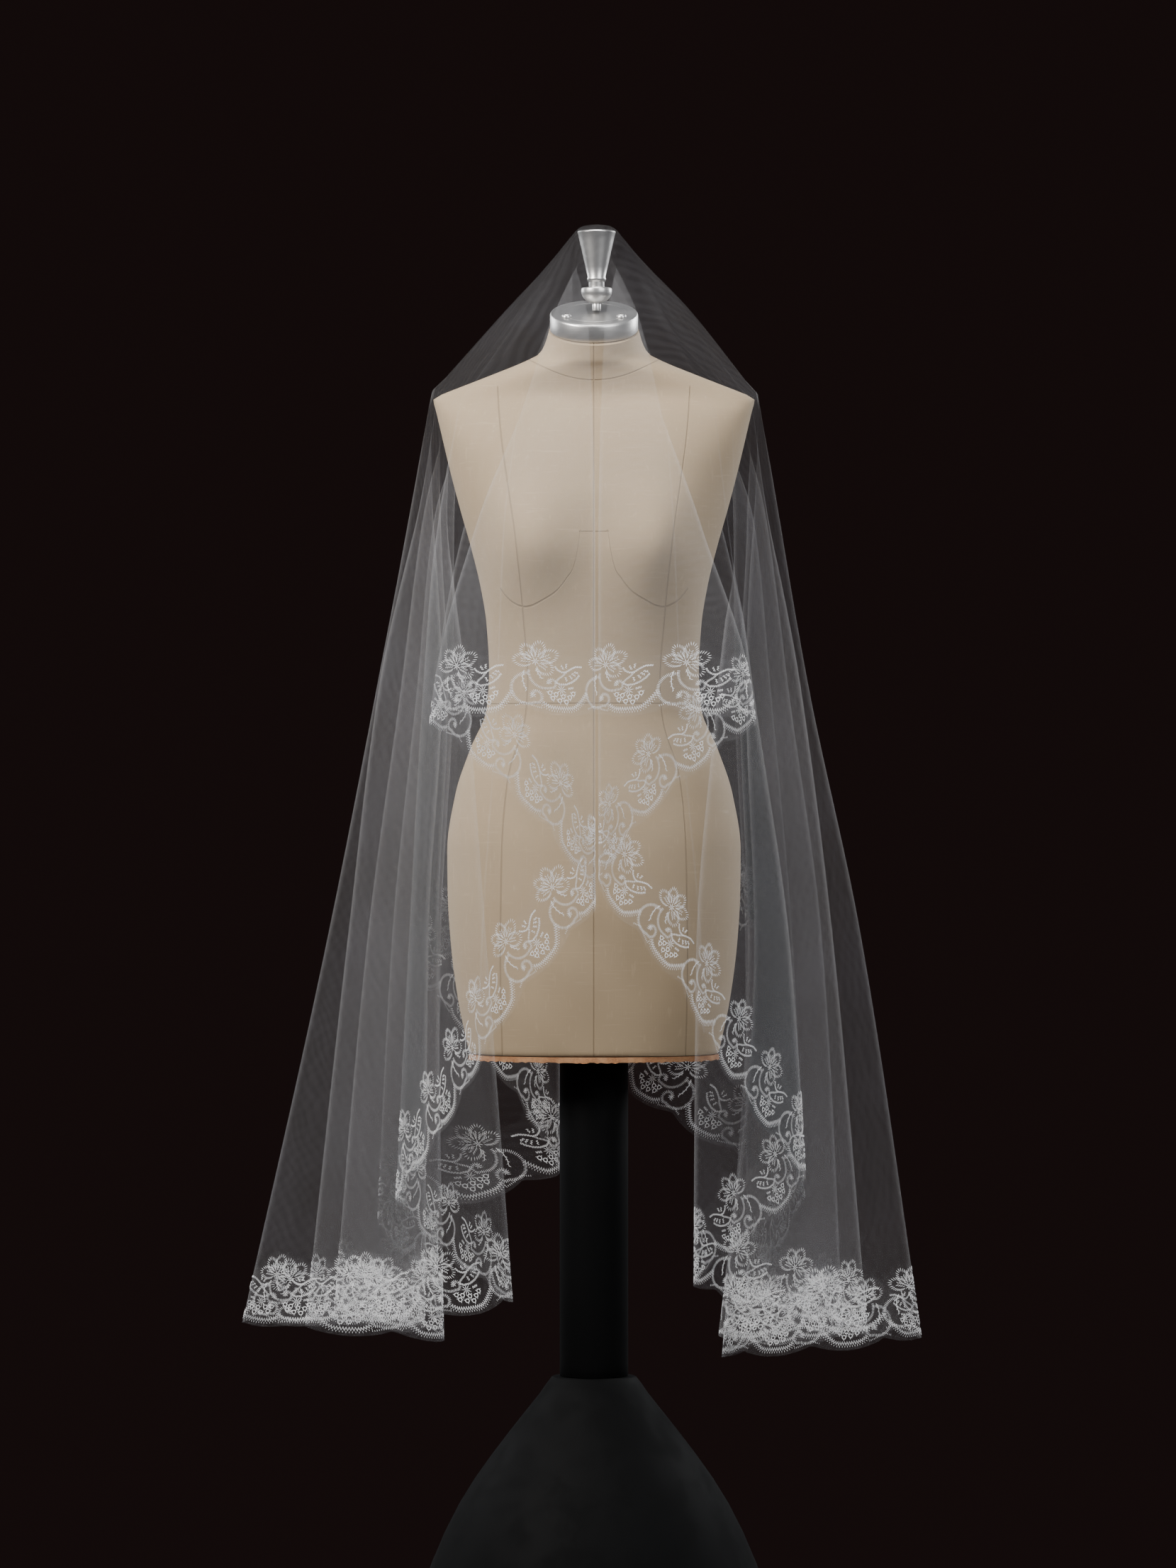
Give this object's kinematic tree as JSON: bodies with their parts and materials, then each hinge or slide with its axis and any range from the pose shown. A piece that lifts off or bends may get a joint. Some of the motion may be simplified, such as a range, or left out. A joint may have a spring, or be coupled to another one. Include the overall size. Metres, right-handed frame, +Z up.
{
  "type": "bridal veil on a dress form",
  "caption": "Sheer bridal veil with an embroidered scalloped edging, draped from its crown over the finial and shoulders of a limbless dress form on a bell-based stand.",
  "frame": {"origin": "on the floor, at the centre of the base's underside", "axes": "+Z is up, the front of the form faces -Y, and the wearer's left is at +X"},
  "size_m": [0.8022, 0.45, 1.7081],
  "materials": {
    "tulle": "fine off-white tulle, sheer and soft, with a faint sheen on its folds",
    "lace": "fine tulle embroidered in a shiny white thread with flowers, leaves and scrolls, with a scalloped edge",
    "canvas": "cream linen canvas over a padded body, with sewn panel seams",
    "board": "brown fibre board",
    "steel": "satin metal",
    "black": "plain dark black, matt"
  },
  "bodies": {
    "root": {"ball_knob": "steel", "base": "black", "bottom_board": "board", "column": "black", "edging_back": "lace", "edging_front": "lace", "edging_left": "lace", "edging_right": "lace", "finial": "steel", "neck_plate": "steel", "plate_screw_left": "steel", "plate_screw_right": "steel", "stud": "steel", "torso": "canvas", "tulle_back": "tulle", "tulle_crown": "tulle", "tulle_front": "tulle", "tulle_left": "tulle", "tulle_right": "tulle"}
  },
  "joints": []
}
